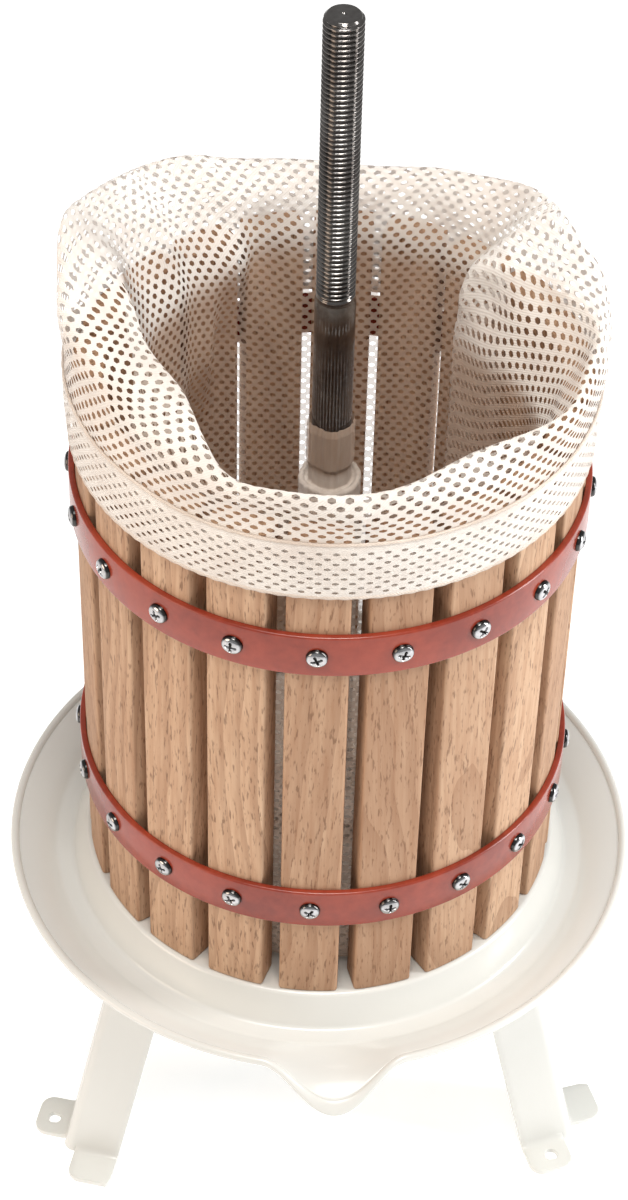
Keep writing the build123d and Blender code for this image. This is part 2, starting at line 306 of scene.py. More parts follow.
def use(tool, tree, inputs):
    """Place a node group with its own values."""
    return tool.add("ShaderNodeGroup", inputs, node_tree=tree).outputs


# ---- effects that several finishes share -------------------------------
def make_mottle():
    """Soft uneven patches: two sizes of noise added, spread about a middle value."""
    tree, tool, given, out = group(
        "mottle",
        [("Scale", "Float", 20.0), ("Base", "Color", (0.5, 0.5, 0.5, 1)),
         ("Other", "Color", (0.4, 0.4, 0.4, 1)), ("Amount", "Float", 0.5)],
        [("Color", "Color"), ("Mask", "Float")])
    place = tool.add("ShaderNodeTexCoord").outputs["Object"]
    large = tool.noise(place, given["Scale"], 3.0)
    small = tool.noise(place, tool.times(given["Scale"], 7.0), 5.0, 0.6)
    mask = tool.ramp(tool.math("ADD", tool.times(large, 0.65), tool.times(small, 0.35)), 0.38, 0.62)
    shown = tool.blend(tool.times(mask, given["Amount"]), given["Base"], given["Other"])
    tool.fill(out, {"Color": shown, "Mask": mask})
    return tree


def make_fine_relief():
    """Fine surface relief: noise of one size as a normal, with its height."""
    tree, tool, given, out = group(
        "fine_relief",
        [("Scale", "Float", 300.0), ("Strength", "Float", 0.1), ("Depth", "Float", 0.0002),
         ("Stretch", "Vector", (1.0, 1.0, 1.0))],
        [("Normal", "Vector"), ("Height", "Float")])
    place = tool.stretch(tool.add("ShaderNodeTexCoord").outputs["Object"], given["Stretch"])
    height = tool.noise(place, given["Scale"], 5.0, 0.55)
    tool.fill(out, {"Normal": tool.bump(given["Strength"], given["Depth"], height), "Height": height})
    return tree


MOTTLE = make_mottle()
FINE_RELIEF = make_fine_relief()


def beech_material():
    """Steamed beech: growth rings round a far pith, soft streaks and short dark ray flecks.

    The board attribute is the place in the board (across, deep, along) plus a share of
    its own, and tone is how dark the board is.
    """
    material, tool, shader = new_material("steamed_beech", IOR=1.45, Specular_IOR_Level=0.35)
    board = tool.attribute("board", "Vector")

    sway = tool.noise(tool.stretch(board, (9.0, 9.0, 5.0)), 1.0, 2.0, output="Color")
    bent = tool.vector("ADD", tool.stretch(board, (1.0, 1.0, 0.06)), tool.stretch(sway, (0.035, 0.035, 0.0)))
    rings = tool.add("ShaderNodeTexWave", {"Vector": bent, "Scale": 42.0, "Distortion": 1.2, "Detail": 2.0,
                                           "Detail Scale": 1.5}, wave_type="RINGS", rings_direction="Z",
                     wave_profile="SAW").outputs["Fac"]
    streaks = tool.noise(tool.stretch(board, (1.0, 1.0, 0.035)), 420.0, 5.0, 0.6)
    flecks = tool.ramp(tool.noise(tool.stretch(board, (1.0, 1.0, 0.16)), 900.0, 2.0), 0.57, 0.68)
    patches = tool.noise(tool.stretch(board, (1.0, 1.0, 0.4)), 28.0, 3.0)

    light, middle = colour(0.82, 0.69, 0.57), colour(0.71, 0.56, 0.445)
    dark, fleck = colour(0.54, 0.385, 0.28), colour(0.38, 0.26, 0.18)
    base = tool.blend(tool.ramp(streaks, 0.3, 0.7), light, middle)
    base = tool.blend(tool.times(tool.ramp(rings, 0.35, 1.0), 0.42), base, dark)
    base = tool.blend(tool.times(tool.ramp(patches, 0.4, 0.75), 0.35), base, middle)
    base = tool.blend(tool.times(flecks, 0.6), base, fleck)
    base = tool.blend(tool.attribute("tone"), base, dark)
    height = tool.math("ADD", streaks, tool.times(flecks, -0.5))
    tool.fill(shader.inputs, {"Base Color": base, "Roughness": tool.ramp(streaks, 0.3, 0.7, 0.62, 0.78),
                              "Normal": tool.bump(0.25, 0.0003, height)})
    return material


def paint_material(name, base, other, scale, amount, roughness, relief, coat=0.0):
    """Painted or enamelled metal: mottled colour, uneven gloss and a fine orange-peel."""
    material, tool, shader = new_material(name, IOR=1.5, Coat_Weight=coat, Coat_Roughness=0.08)
    patches = use(tool, MOTTLE, {"Scale": scale, "Base": base, "Other": other, "Amount": amount})
    skin = use(tool, FINE_RELIEF, {"Scale": relief, "Strength": 0.12, "Depth": 0.0003})
    gloss = tool.ramp(patches["Mask"], 0.0, 1.0, roughness, roughness * 1.1)
    tool.fill(shader.inputs, {"Base Color": patches["Color"], "Roughness": gloss, "Normal": skin["Normal"]})
    return material


def metal_material(name, base, other, scale, roughness, stretch=(1.0, 1.0, 1.0), relief=600.0,
                   strength=0.1, shade_colour=None):
    """Bare or plated metal: patchy colour and gloss, and fine marks drawn out by the stretch.

    With a second, dark colour, an attribute on the piece says how much of that painted shade and painted dark
    reflection shows at each point.
    """
    material, tool, shader = new_material(name, Metallic=1.0)
    patches = use(tool, MOTTLE, {"Scale": scale, "Base": base, "Other": other, "Amount": 0.7})
    marks = use(tool, FINE_RELIEF, {"Scale": relief, "Strength": strength, "Depth": 0.0002,
                                    "Stretch": stretch})
    # Painted shade: the dark colour stands in for shade and dark reflections in recesses, round rims and
    # underneath.
    shown = tool.blend(tool.attribute("painted_shade"), patches["Color"], shade_colour) if shade_colour else patches["Color"]
    gloss = tool.ramp(marks["Height"], 0.3, 0.7, roughness * 0.8, roughness * 1.4)
    tool.fill(shader.inputs, {"Base Color": shown, "Roughness": gloss, "Normal": marks["Normal"]})
    return material


def cloth_material(name, sheer, base, other):
    """White nylon knit: slanting loops in the flat cloth, thin enough to let some light by.

    The tight attribute is 1 where the cloth is drawn out thin against the staves; there more light gets by,
    and the cloth is tinted tan as painted warm shade, standing in for light thrown back by the timber.
    """
    material, tool, shader = new_material(name, Roughness=0.62, Sheen_Weight=0.25, IOR=1.45,
                                          Specular_IOR_Level=0.3)
    tight = tool.attribute("tight")
    flat = tool.add("ShaderNodeUVMap", uv_map="flat").outputs[0]
    loops = tool.add("ShaderNodeTexWave", {"Vector": tool.stretch(flat, (6.0, 3.2, 1.0)), "Scale": 0.5,
                                           "Distortion": 1.5, "Detail": 2.0, "Detail Scale": 2.0},
                     bands_direction="DIAGONAL").outputs["Fac"]
    fluff = tool.noise(flat, 3.0, 4.0, 0.6)
    soft = tool.noise(flat, 0.18, 3.0)
    painted_warm_shade = colour(0.84, 0.66, 0.50)
    base = tool.blend(tool.times(tool.ramp(soft, 0.4, 0.65), 0.6), base, other)
    base = tool.blend(tool.times(tool.ramp(loops, 0.75, 0.1), 0.35), base, other)
    # Painted shade: where the cloth is tight it is tinted tan, standing in for warm light thrown back by the
    # timber and for shade.
    base = tool.blend(tool.times(tight, 0.5), base, painted_warm_shade)
    height = tool.math("ADD", loops, tool.times(fluff, 0.8))
    tool.fill(shader.inputs, {"Base Color": base, "Alpha": tool.ramp(tight, 0.0, 1.0, 1.0 - sheer, 0.52),
                              "Normal": tool.bump(0.35, 0.0004, height)})
    return material


BEECH = beech_material()
NET = cloth_material("net_nylon", 0.16, colour(0.96, 0.94, 0.91), colour(0.88, 0.83, 0.79))
CLOTH = cloth_material("plain_nylon", 0.25, colour(0.93, 0.88, 0.83), colour(0.83, 0.76, 0.70))
HOOP_PAINT = paint_material("hoop_paint", colour(0.60, 0.24, 0.16), colour(0.45, 0.15, 0.10), 26.0, 0.8,
                            0.20, 500.0)
ENAMEL = paint_material("white_enamel", colour(0.86, 0.86, 0.84), colour(0.82, 0.82, 0.80), 9.0, 0.2,
                        0.24, 420.0, coat=0.35)
# The dark second colour of the screw heads is painted shade and painted dark reflection.
BRIGHT = metal_material("bright_screws", colour(0.78, 0.78, 0.79), colour(0.60, 0.60, 0.60), 160.0, 0.12,
                        shade_colour=colour(0.16, 0.15, 0.14))
STEEL = metal_material("bright_steel", colour(0.52, 0.51, 0.50), colour(0.36, 0.34, 0.33), 60.0, 0.13,
                       stretch=(1.0, 1.0, 0.15), relief=900.0, strength=0.18)
ZINC = metal_material("zinc_plate", colour(0.74, 0.74, 0.75), colour(0.60, 0.61, 0.63), 90.0, 0.34)

# ======================================================================
# Places taken from the frame
# ======================================================================
stave_low, stave_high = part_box("stave_01")
screw_low, screw_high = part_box("press_screw")
TRAY_TOP = stave_low.z                  # top of the tray's flat middle
TRAY_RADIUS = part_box("tray")[1].x
STAVE_TOP = stave_high.z
HOOP_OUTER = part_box("upper_hoop")[1].x
HOOP_THICKNESS = 3.0 * MM
BASKET_RADIUS = HOOP_OUTER - HOOP_THICKNESS - 0.1 * MM
STAVE_COUNT = 20
STAVE_WIDTH = 29.0 * MM
STAVE_THICKNESS = 15.5 * MM
BASKET_TURN = math.radians(-5.5)
LEG_SPLAY = math.radians(14.8)
LEG_REACH = 163.0 * MM                 # from the screw axis to the leg's corner on the floor
LEG_FLANGE = 31.0 * MM
LEG_TAB = 19.0 * MM
LEG_SHEET = 3.0 * MM
LEG_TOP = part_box("leg_rear")[1].z
LEG_TAB_ROUND = 7.0 * MM               # round of the foot tabs, which start this far from the corner
LEG_HOLE = np.array([17.5, 9.5]) * MM  # along the flange and out from it
LEG_HOLE_RADIUS = 3.5 * MM
SPOUT_HALF = math.radians(13.0)        # how far each side of the spout the rim is drawn out
SPOUT_REACH = 14.0 * MM
SPOUT_FALL = 16.0 * MM


def stave_azimuth(index):
    """Azimuth of a stave, counted from the one nearest the spout."""
    return BASKET_TURN + 2 * math.pi * index / STAVE_COUNT


# ======================================================================
# Basket
# ======================================================================
def stave_part(random):
    """One stave on the spout side, with its place in the board.

    Its section is a plank with a flat inner face and an outer face on the basket's
    circle; the section is carried upright and drawn in over a small radius at both ends.
    """
    half, inner = STAVE_WIDTH / 2, BASKET_RADIUS - STAVE_THICKNESS
    across = np.linspace(half, -half, 9)
    outer_face = np.stack([across, np.sqrt(BASKET_RADIUS ** 2 - across ** 2)], axis=1)
    corners = np.concatenate([[[-half, inner], [half, inner]], outer_face])
    radii = [1.3 * MM, 1.3 * MM, 1.5 * MM] + [0.0] * 7 + [1.5 * MM]
    section = rounded_outline(corners, radii, 4)
    middle = np.array([0.0, BASKET_RADIUS - STAVE_THICKNESS / 2])
    rounding = 1.4 * MM
    bend = np.linspace(0, math.pi / 2, 5)
    between = np.linspace(TRAY_TOP + 2 * rounding, STAVE_TOP - 2 * rounding, 24)
    level = np.concatenate([TRAY_TOP + rounding * (1 - np.cos(bend)), between,
                            STAVE_TOP - rounding * (1 - np.cos(bend[::-1]))])
    inset = np.concatenate([rounding * (1 - np.sin(bend)), 0 * between,
                            rounding * (1 - np.sin(bend[::-1]))])
    half_size = np.array([half, STAVE_THICKNESS / 2])
    scale = 1 - inset[:, None] / half_size
    flat = middle + (section[None] - middle) * scale[:, None, :]
    points = np.concatenate([flat[..., :1], -flat[..., 1:], np.broadcast_to(level[:, None, None],
                            flat.shape[:2] + (1,))], axis=-1)
    count = len(section)
    points = np.concatenate([points.reshape(-1, 3), [[0, -middle[1], level[0]], [0, -middle[1], level[-1]]]])
    rows = len(level)
    faces = [grid_quads(rows, count, close_columns=True, flip=True),
             fan(np.arange(count), rows * count, flip=True),
             fan((rows - 1) * count + np.arange(count), rows * count + 1)]
    pith = np.array([random.uniform(-0.05, 0.05), random.uniform(0.03, 0.09), 0.0])
    board = points + [0.0, middle[1], 0.0]
    lean = random.uniform(-0.06, 0.06, 2)
    board = board + pith + board[:, 2:3] * np.array([lean[0], lean[1], 0.0])
    board[:, 2] += random.uniform(0, 40)
    return points, faces, board


def make_staves():
    """Twenty separate staves, each sawn from its own place in the timber."""
    for index in range(STAVE_COUNT):
        random = np.random.default_rng(100 + index)
        points, faces, board = stave_part(random)
        name = f"stave_{index + 1:02d}"
        piece = build(f"beech_{name}", (turn(points, stave_azimuth(index)), faces), "basket",
                      BEECH, sharp=50, nodes=[name])
        store(piece, "board", board)
        store(piece, "tone", np.full(len(points), random.uniform(0.0, 0.42)))


def make_hoops():
    """Flat band with rounded outer edges, turned round the staves; paint gathers at its edges."""
    for name in ("upper_hoop", "lower_hoop"):
        low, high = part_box(name)
        inner = HOOP_OUTER - HOOP_THICKNESS
        corners = [[inner, low.z], [HOOP_OUTER, low.z], [HOOP_OUTER, high.z], [inner, high.z]]
        outline = rounded_outline(corners, [0.3 * MM, 1.1 * MM, 1.1 * MM, 0.3 * MM], 5)
        build(f"painted_{name}", lathe(outline, 240), "basket", HOOP_PAINT, sharp=40,
              nodes=[name])


def screw_head(rings=20, spokes=48):
    """Domed head with a cross recess, lying on z = 0.

    Height over the head's radius is a flattened dome; inside the cross it drops by the
    recess depth, with sloping sides.
    """
    radius, height = 5.0 * MM, 3.0 * MM
    share = np.linspace(1, 0.04, rings)[:, None]
    spoke = spread_angles(spokes)[None]
    x, y = radius * share * np.cos(spoke), radius * share * np.sin(spoke)
    dome = height * (0.28 + 0.72 * np.sqrt(np.clip(1 - share ** 2.4, 0, 1)))
    arm, reach, depth = 0.55 * MM, 2.7 * MM, 1.5 * MM
    side = 0.22 * MM
    bars = [smooth_step((arm - np.abs(u)) / side + 0.5) * smooth_step((reach - np.abs(v)) / (2 * side) + 0.5)
            for u, v in ((x, y), (y, x))]
    recess = np.maximum(*bars)
    z = dome - depth * recess
    top = np.stack(np.broadcast_arrays(x, y, z), axis=-1)
    skirt = np.stack([1.02 * x[0], 1.02 * y[0], np.zeros(spokes)], axis=-1)[None]
    points = np.concatenate([skirt, top]).reshape(-1, 3)
    centre = len(points)
    bottom = centre + 1
    points = np.concatenate([points, [[0, 0, dome[-1, 0] - depth], [0, 0, 0]]])
    faces = [grid_quads(rings + 1, spokes, close_columns=True, flip=True),
             fan(rings * spokes + np.arange(spokes), centre), fan(np.arange(spokes), bottom, flip=True)]
    # Painted shade: the cross recess, the rim of the dome and the underside are marked dark, standing in for
    # shade and dark reflections.
    rim = smooth_step((np.broadcast_to(share, recess.shape) - 0.80) / 0.16)
    painted_shade = np.concatenate([np.ones(spokes), np.maximum(0.95 * recess, 0.9 * rim).ravel(), [1.0, 1.0]])
    return points, faces, painted_shade


def make_hoop_screws():
    """A cross-head screw on every stave through each hoop, each driven to its own angle."""
    points, faces, painted_shade = screw_head()
    for name in ("upper_hoop", "lower_hoop"):
        low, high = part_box(name)
        random = np.random.default_rng(7 if name == "upper_hoop" else 8)
        heads = []
        for index in range(STAVE_COUNT):
            angle = random.uniform(0, math.pi)
            cosine, sine = math.cos(angle), math.sin(angle)
            x = cosine * points[:, 0] - sine * points[:, 1]
            z = sine * points[:, 0] + cosine * points[:, 1]
            placed = np.stack([x, -(HOOP_OUTER - 0.05 * MM + points[:, 2]), z + (low.z + high.z) / 2], axis=1)
            heads.append((turn(placed, stave_azimuth(index)), faces))
        piece = build(f"{name}_screw_heads", join(heads), "basket", BRIGHT, sharp=50,
                      nodes=[f"{name}_screws"])
        # Painted shade and dark reflection of every head.
        store(piece, "painted_shade", np.tile(painted_shade, STAVE_COUNT))


# ======================================================================
# Tray
# ======================================================================
def make_tray():
    """Pressed tray: one closed outline carried round the axis, drawn out at the spout.

    At azimuth a the outer wall and rim move out and down by reach and fall times a
    cosine-squared bump, in proportion to how far up the wall a point lies, and the
    rolled bead shrinks towards its own middle there.
    """
    top, sheet = TRAY_TOP, 2.0 * MM
    flat, channel, channel_end = 122.0 * MM, 130.0 * MM, 139.0 * MM
    floor = top - 18.0 * MM
    bead = 2.2 * MM
    bead_radius, bead_level = TRAY_RADIUS - bead, top - 6.0 * MM - bead
    bore = 9.8 * MM
    around = np.linspace(math.radians(250), math.radians(-75), 15)
    rim = np.stack([bead_radius + bead * np.cos(around), bead_level + bead * np.sin(around)], axis=1)
    upper = rounded_path([[bore, top], [flat, top], [channel, floor], [channel_end, floor],
                          [bead_radius - 1.6 * bead, bead_level + 0.2 * bead]],
                         [0, 3.0 * MM, 3.5 * MM, 6.0 * MM, 0], 6)
    lower = rounded_path([[bead_radius - 1.2 * bead, bead_level - sheet],
                          [channel_end + 0.4 * MM, floor - sheet], [channel - 1.1 * MM, floor - sheet],
                          [flat - 1.1 * MM, top - sheet], [bore, top - sheet]],
                         [0, 8.0 * MM, 2.0 * MM, 4.0 * MM, 0], 6)
    outline = np.concatenate([upper, rim[3:], lower])
    climb = np.clip((outline[:, 0] - channel_end) / (bead_radius - channel_end), 0, 1.1)
    azimuths = np.linspace(-math.pi, math.pi, 480, endpoint=False)
    spout = np.where(np.abs(azimuths) < SPOUT_HALF, np.cos(azimuths * math.pi / 2 / SPOUT_HALF) ** 2, 0)
    roll = np.where(climb > 1 - 1.7 * bead / (bead_radius - channel_end), 0.6, 0.0) * spout[:, None]
    radius = outline[:, 0] + SPOUT_REACH * spout[:, None] * climb ** 1.2
    level = outline[:, 1] - SPOUT_FALL * spout[:, None] * climb ** 1.5
    radius = radius - roll * (outline[:, 0] - bead_radius)
    level = level - roll * (outline[:, 1] - bead_level)
    points = polar(radius, azimuths[:, None], level)
    faces = [grid_quads(len(azimuths), len(outline), True, True)]
    build("pressed_tray", (points, faces), "stand", ENAMEL, sharp=60, nodes=["tray"])


# ======================================================================
# Legs
# ======================================================================
def leg_shell():
    """Outer skin of a folded leg whose corner faces the spout.

    A bent strip carried down the leaning corner; each flange then turns outwards over a
    small arc into a foot tab, and the corner between the tabs runs straight to the floor.
    """
    side = math.sqrt(0.5)
    along = {"b": np.array([-side, side]), "a": np.array([side, side])}
    outward = {"b": np.array([-side, -side]), "a": np.array([side, -side])}
    lean, foot, sheet = math.tan(LEG_SPLAY), LEG_REACH, LEG_SHEET

    def corner(level):
        level = np.asarray(level, float)
        return np.stack([0 * level, lean * level - foot], axis=-1)

    reaches = np.linspace(LEG_TAB_ROUND, LEG_FLANGE, 7)
    fold = [LEG_FLANGE * along["b"], [0, 0], LEG_FLANGE * along["a"]]
    bend = rounded_outline(fold, [0, 6.0 * MM, 0], 8)[1:-1]
    section = np.concatenate([reaches[::-1, None] * along["b"], bend, reaches[:, None] * along["a"]])
    run = rounded_path([[-lean * side * 20 * MM, sheet + 20 * MM], [0, sheet], [LEG_TAB, sheet]],
                       [0, 4.0 * MM, 0], 5)[1:-1]
    start = run[0, 1]

    def strip(levels, columns):
        flat = corner(levels)[:, None, :] + columns[None]
        level = np.broadcast_to(levels[:, None, None], flat.shape[:2] + (1,))
        return np.concatenate([flat, level], axis=-1), [grid_quads(len(levels), len(columns))]

    def tab_points(flange, reach, out, level):
        shift = reach + lean * side * (level - sheet)
        flat = corner(sheet) + shift[..., None] * along[flange] + out[..., None] * outward[flange]
        return np.concatenate([flat, level[..., None]], axis=-1)

    parts = [strip(np.linspace(LEG_TOP, start, 14), section),
             strip(np.linspace(start, 1.0 * MM, 3), section[len(reaches) - 1:1 - len(reaches)])]
    for flange, order in (("b", -1), ("a", 1)):
        reach, out = np.broadcast_arrays(reaches[None, ::order], run[:, :1])
        level = np.broadcast_to(run[:, 1:], out.shape)
        parts.append((tab_points(flange, reach, out, level), [grid_quads(len(run), len(reaches))]))
    edge_round = LEG_TAB_ROUND
    out = np.concatenate([[run[-1, 0]], np.linspace(8 * MM, LEG_TAB - edge_round, 3),
                          LEG_TAB - edge_round * (1 - np.sin(np.linspace(0.2, math.pi / 2, 7)))])
    inset = edge_round * (1 - np.sqrt(1 - np.clip((out - LEG_TAB + edge_round) / edge_round, 0, 1) ** 2))
    spread = np.linspace(0, 1, len(reaches))[None]
    reach = (edge_round + inset[:, None]) * (1 - spread) + (LEG_FLANGE - 0.35 * inset[:, None]) * spread
    out = np.broadcast_to(out[:, None], reach.shape)
    parts.append((tab_points("a", reach, out, np.full(reach.shape, sheet)), [grid_quads(*reach.shape)]))
    rounded = rounded_outline([[LEG_FLANGE, run[-1, 0]], [LEG_FLANGE, LEG_TAB], [edge_round, LEG_TAB],
                               [edge_round, run[-1, 0]]], [0, edge_round, edge_round, 0], 7)
    edge = np.concatenate([np.stack([reaches, np.full(len(reaches), run[-1, 0])], axis=1), rounded[1:-1]])
    spoke = edge - LEG_HOLE
    circle = LEG_HOLE + LEG_HOLE_RADIUS * spoke / np.linalg.norm(spoke, axis=1)[:, None]
    share = np.linspace(0, 1, 4)[:, None, None]
    rings = circle * (1 - share) + edge * share
    parts.append((tab_points("b", rings[..., 0], rings[..., 1], np.full(rings.shape[:2], sheet)),
                  [grid_quads(4, len(edge), close_columns=True)]))
    return join(parts)


def leg_plate():
    """L-shaped tab that the leg's flanges turn in to under the tray, as a closed prism."""
    side, start = math.sqrt(0.5), 2.6 * MM
    end, reach = LEG_FLANGE - 0.1 * MM, LEG_TAB
    corners = [[start, start], [end, start], [end, reach], [reach, reach], [reach, end], [start, end]]
    outline = rounded_outline(corners, np.array([0, 2, 2, 1, 2, 2]) * MM, 4)
    corner = math.tan(LEG_SPLAY) * LEG_TOP - LEG_REACH
    x = (outline[:, 0] - outline[:, 1]) * side
    y = corner + (outline[:, 0] + outline[:, 1]) * side
    rings = [np.stack([x, y, np.full(len(x), level)], axis=1) for level in (LEG_TOP - LEG_SHEET, LEG_TOP)]
    count = len(x)
    numbers = np.arange(count)
    return np.concatenate(rings), [grid_quads(2, count, close_columns=True, flip=True),
                                   numbers[None, ::-1], numbers[None] + count]


def weld(piece):
    """Merge points that lie on each other, after which the shell is one sheet."""
    mesh = bmesh.new()
    mesh.from_mesh(piece.data)
    bmesh.ops.remove_doubles(mesh, verts=mesh.verts, dist=0.00002)
    mesh.to_mesh(piece.data)
    mesh.free()


def soften_edges(piece, width, angle=35.0):
    """Small round on every edge sharper than the angle."""
    bevel = piece.modifiers.new("edges", "BEVEL")
    bevel.width = width
    bevel.segments = 2
    bevel.limit_method = "ANGLE"
    bevel.angle_limit = math.radians(angle)


def make_legs():
    """Three legs of folded sheet, each with its plate under the tray."""
    shell, plate = leg_shell(), leg_plate()
    for name, degrees in (("leg_front_right", 60), ("leg_rear", 180), ("leg_front_left", 300)):
        azimuth = math.radians(degrees)
        leg = build(f"folded_{name}", (turn(shell[0], azimuth), shell[1]), "stand", ENAMEL,
                    nodes=[name])
        weld(leg)
        wall = leg.modifiers.new("sheet", "SOLIDIFY")
        wall.thickness = LEG_SHEET
        wall.offset = -1.0
        wall.use_even_offset = True
        soften_edges(leg, 0.6 * MM)
        top = build(f"{name}_plate", (turn(plate[0], azimuth), plate[1]), "stand", ENAMEL)
        soften_edges(top, 0.5 * MM)


def make_fittings():
    """Bearer, nuts, washers and bolts: their own shapes with the edges rounded off."""
    finishes = {"bearer": (ENAMEL, "white_enamel", 0.5), "leg_bolts": (ZINC, "zinc_plate", 0.3)}
    for name in ("leg_washers", "upper_washer", "upper_nut", "lower_washer", "lower_nut", "lock_nut"):
        finishes[name] = (ZINC, "zinc_plate", 0.3)
    for name, (material, slot, width) in finishes.items():
        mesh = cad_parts[name].data.copy()
        mesh.materials.clear()
        mesh.materials.append(material)
        piece = place_object(f"finished_{name}", mesh)
        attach(piece, "stand")
        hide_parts(name)
        weld(piece)
        soften_edges(piece, width * MM)


# ======================================================================
# Press screw
# ======================================================================
def make_press_screw():
    """Round bar with a helical thread on its upper part.

    Radius at angle t and level z is the crest less the thread's depth times a trapezium
    of z / pitch - t / (2 pi); the depth fades in at the foot of the thread, and a cone
    trims the sawn top, which has a centre mark.
    """
    shank, crest = screw_high.x, 9.0 * MM
    thread_length, foot_bevel, top_bevel, mark_depth = 150.0 * MM, 1.6 * MM, 1.7 * MM, 1.6 * MM
    thread_start = screw_high.z - thread_length
    pitch, depth, rows_per_turn, spokes = 2.5 * MM, 1.45 * MM, 12, 48
    low_bend = np.array([0.0, 0.5, 1.0]) * foot_bevel
    shank_levels = np.linspace(screw_low.z + 3 * MM, thread_start - 1 * MM, 24)
    count = int(round(thread_length / pitch * rows_per_turn))
    thread_levels = np.linspace(thread_start, screw_high.z, count + 1)
    level = np.concatenate([screw_low.z + low_bend, shank_levels, thread_levels])[:, None]
    angle = spread_angles(spokes)[None]
    phase = (level / pitch - angle / (2 * math.pi)) % 1.0
    rise = np.clip((np.abs(2 * phase - 1) - 0.16) / 0.66, 0, 1)
    fade = smooth_step((level - thread_start) / (2.5 * pitch))
    threaded = crest - depth * (1 - rise) * fade
    neck = smooth_step((level - thread_start + 1.2 * MM) / (1.2 * MM))
    radius = shank + (threaded - shank) * neck
    radius = np.minimum(radius, shank - foot_bevel + (level - screw_low.z))
    radius = np.minimum(radius, crest - top_bevel + 0.9 * (screw_high.z - level))
    side = polar(radius, angle, level)
    rings = np.array([0.92, 0.6, 0.2, 0.15])[:, None]
    face = polar((crest - top_bevel) * rings, angle, screw_high.z)
    points = np.concatenate([side.reshape(-1, 3), face.reshape(-1, 3),
                             [[0, 0, screw_high.z - mark_depth], [0, 0, screw_low.z]]])
    rows = len(level) + len(rings)
    faces = [grid_quads(rows, spokes, close_columns=True, flip=True),
             fan((rows - 1) * spokes + np.arange(spokes), rows * spokes),
             fan(np.arange(spokes), rows * spokes + 1, flip=True)]
    build("threaded_press_screw", (points, faces), "stand", STEEL, sharp=50,
          nodes=["press_screw"])


# ======================================================================
# Press bag
# ======================================================================
# Round the bag, in degrees and mm above the foot of the staves: azimuth, then radius and
# level of the fold's inner crest, then radius and level of its outer shoulder.
BAG_FOLD = np.array([
    [-25.5, 122, 340, 126.5, 334], [-5.5, 126, 340, 127.5, 333], [10.5, 125, 340, 127.5, 333],
    [18.5, 115, 340, 126.5, 328], [24.5, 110, 340, 126, 326], [31.5, 112, 341, 126, 327],
    [40.5, 118, 342, 126.5, 329], [50.5, 121, 343, 127, 334], [80.0, 119, 347, 126, 340],
    [95.0, 104, 347, 126, 343], [108.0, 78, 345, 125.5, 345], [117.0, 62, 340, 125, 347],
    [125.0, 104, 334, 124.5, 350], [137.0, 108, 331, 124.5, 348], [150.0, 108, 329, 124.5, 343],
    [165.0, 109, 326, 124.5, 334], [185.0, 109, 325, 124.5, 332], [200.0, 107, 329, 124.5, 340],
    [211.0, 107, 333, 124.5, 352], [225.0, 108, 340, 124.5, 360], [237.0, 109, 350, 124.5, 364],
    [250.0, 106, 360, 124.5, 374], [260.0, 101, 364, 124.5, 380], [270.0, 97, 360, 124.5, 371],
    [282.5, 89, 355, 124.5, 356], [304.5, 90, 347, 124.5, 345], [313.5, 93, 344, 125, 341],
    [323.5, 105, 341, 126, 337],
])
BAG_WALL = 103.8 * MM
BAG_CUFF = 121.9 * MM
BAG_HEM = STAVE_TOP - 32.0 * MM
STITCH_WIDE = 6.2 * MM
STITCH_TALL = 3.6 * MM
BAG_ROWS = 118
HEM_ROWS = 9
NET_END = 0.9                          # the net is closed this many rows past its first and last


def ripple(seed, azimuth, height, lengths, count=9):
    """Smooth random waves: a sum of slanted cosines with seeded pitches and phases."""
    random = np.random.default_rng(seed)
    total = np.zeros(np.broadcast(azimuth, height).shape)
    for step in range(count):
        turns = random.integers(lengths[0], lengths[1])
        slant, phase = random.uniform(-22, 22), random.uniform(0, 2 * math.pi)
        total += np.cos(turns * azimuth + slant * height + phase) / math.sqrt(count)
    return total


def wall_radius(azimuth, height):
    """Radius of the bag's wall: the staves' inside less a pleat, a slack hollow and waves.

    The pleat at the right rear comes in steeply on its far side and eases out on its near
    side; the hollow at the left rear ends along a slanting line.
    """
    degrees = np.degrees(azimuth) % 360
    pleat = smooth_step((123.0 - degrees) / 5.0) * smooth_step((degrees - 54.0) / 62.0)
    pleat = pleat * smooth_step((height - 0.03) / 0.11)
    edge = 198.0 + 250.0 * (0.300 - height)
    slack = smooth_step((degrees - edge) / 8.0) * smooth_step((305.0 - degrees) / 40.0)
    slack = slack * smooth_step((height - 0.05) / 0.14)
    waves = (1.0 + ripple(21, azimuth, height, (5, 17))) * smooth_step((height - 0.02) / 0.08)
    return BAG_WALL - (38.0 * pleat + 14.0 * slack + 0.7 * np.maximum(waves, 0.0)) * MM


def fold_value(azimuth, column):
    """A value of the fold table, softened over a few degrees."""
    degrees = np.degrees(azimuth)
    near = [np.interp(degrees + step, BAG_FOLD[:, 0], BAG_FOLD[:, column], period=360)
            for step in range(-5, 6)]
    return np.mean(near, axis=0) * MM


def bag_columns():
    """Azimuth of every stitch column, even along the wall half way up."""
    azimuth = np.linspace(0, 2 * math.pi, 2881)
    points = polar(wall_radius(azimuth, 0.2), azimuth, 0.0)
    along = run_length(points)
    count = int(round(along[-1] / STITCH_WIDE))
    return count, lambda column: np.interp(column / count * along[-1], along, azimuth)


